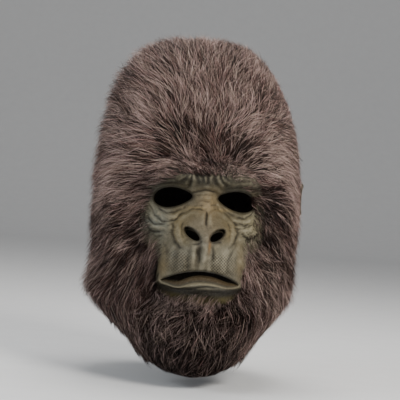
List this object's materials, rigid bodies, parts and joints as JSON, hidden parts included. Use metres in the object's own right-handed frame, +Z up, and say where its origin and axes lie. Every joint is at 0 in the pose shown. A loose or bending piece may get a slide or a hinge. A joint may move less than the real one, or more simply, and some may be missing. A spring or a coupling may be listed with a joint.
{
  "type": "gorilla mask",
  "caption": "Full-head gorilla mask: moulded rubber face with open eyes, nostrils and mouth, a hollow hood, small ears, and deep fur with a beard.",
  "frame": {"origin": "inside of the crown, on the middle line, where the mask bears on the wearer's head", "axes": "+Z up through the crown, +X towards the mask's left ear (the viewer's right), the face looks along -Y"},
  "size_m": [0.2282, 0.2677, 0.3471],
  "materials": {
    "face_rubber": "satin moulded rubber, painted in olive and ochre",
    "hood_rubber": "plain matt moulded rubber",
    "ear_rubber": "satin moulded rubber",
    "crown_fur": "long pile fur, mauve brown with pale tips",
    "side_fur": "long pile fur, reddish brown",
    "beard_fur": "long pile fur, dark brown"
  },
  "bodies": {
    "root": {"face_skin": "face_rubber", "hood_shell": "hood_rubber", "ear_left": "ear_rubber", "ear_right": "ear_rubber", "crown_fur": "crown_fur", "side_fur_left": "side_fur", "side_fur_right": "side_fur", "chin_beard": "beard_fur"}
  },
  "joints": []
}
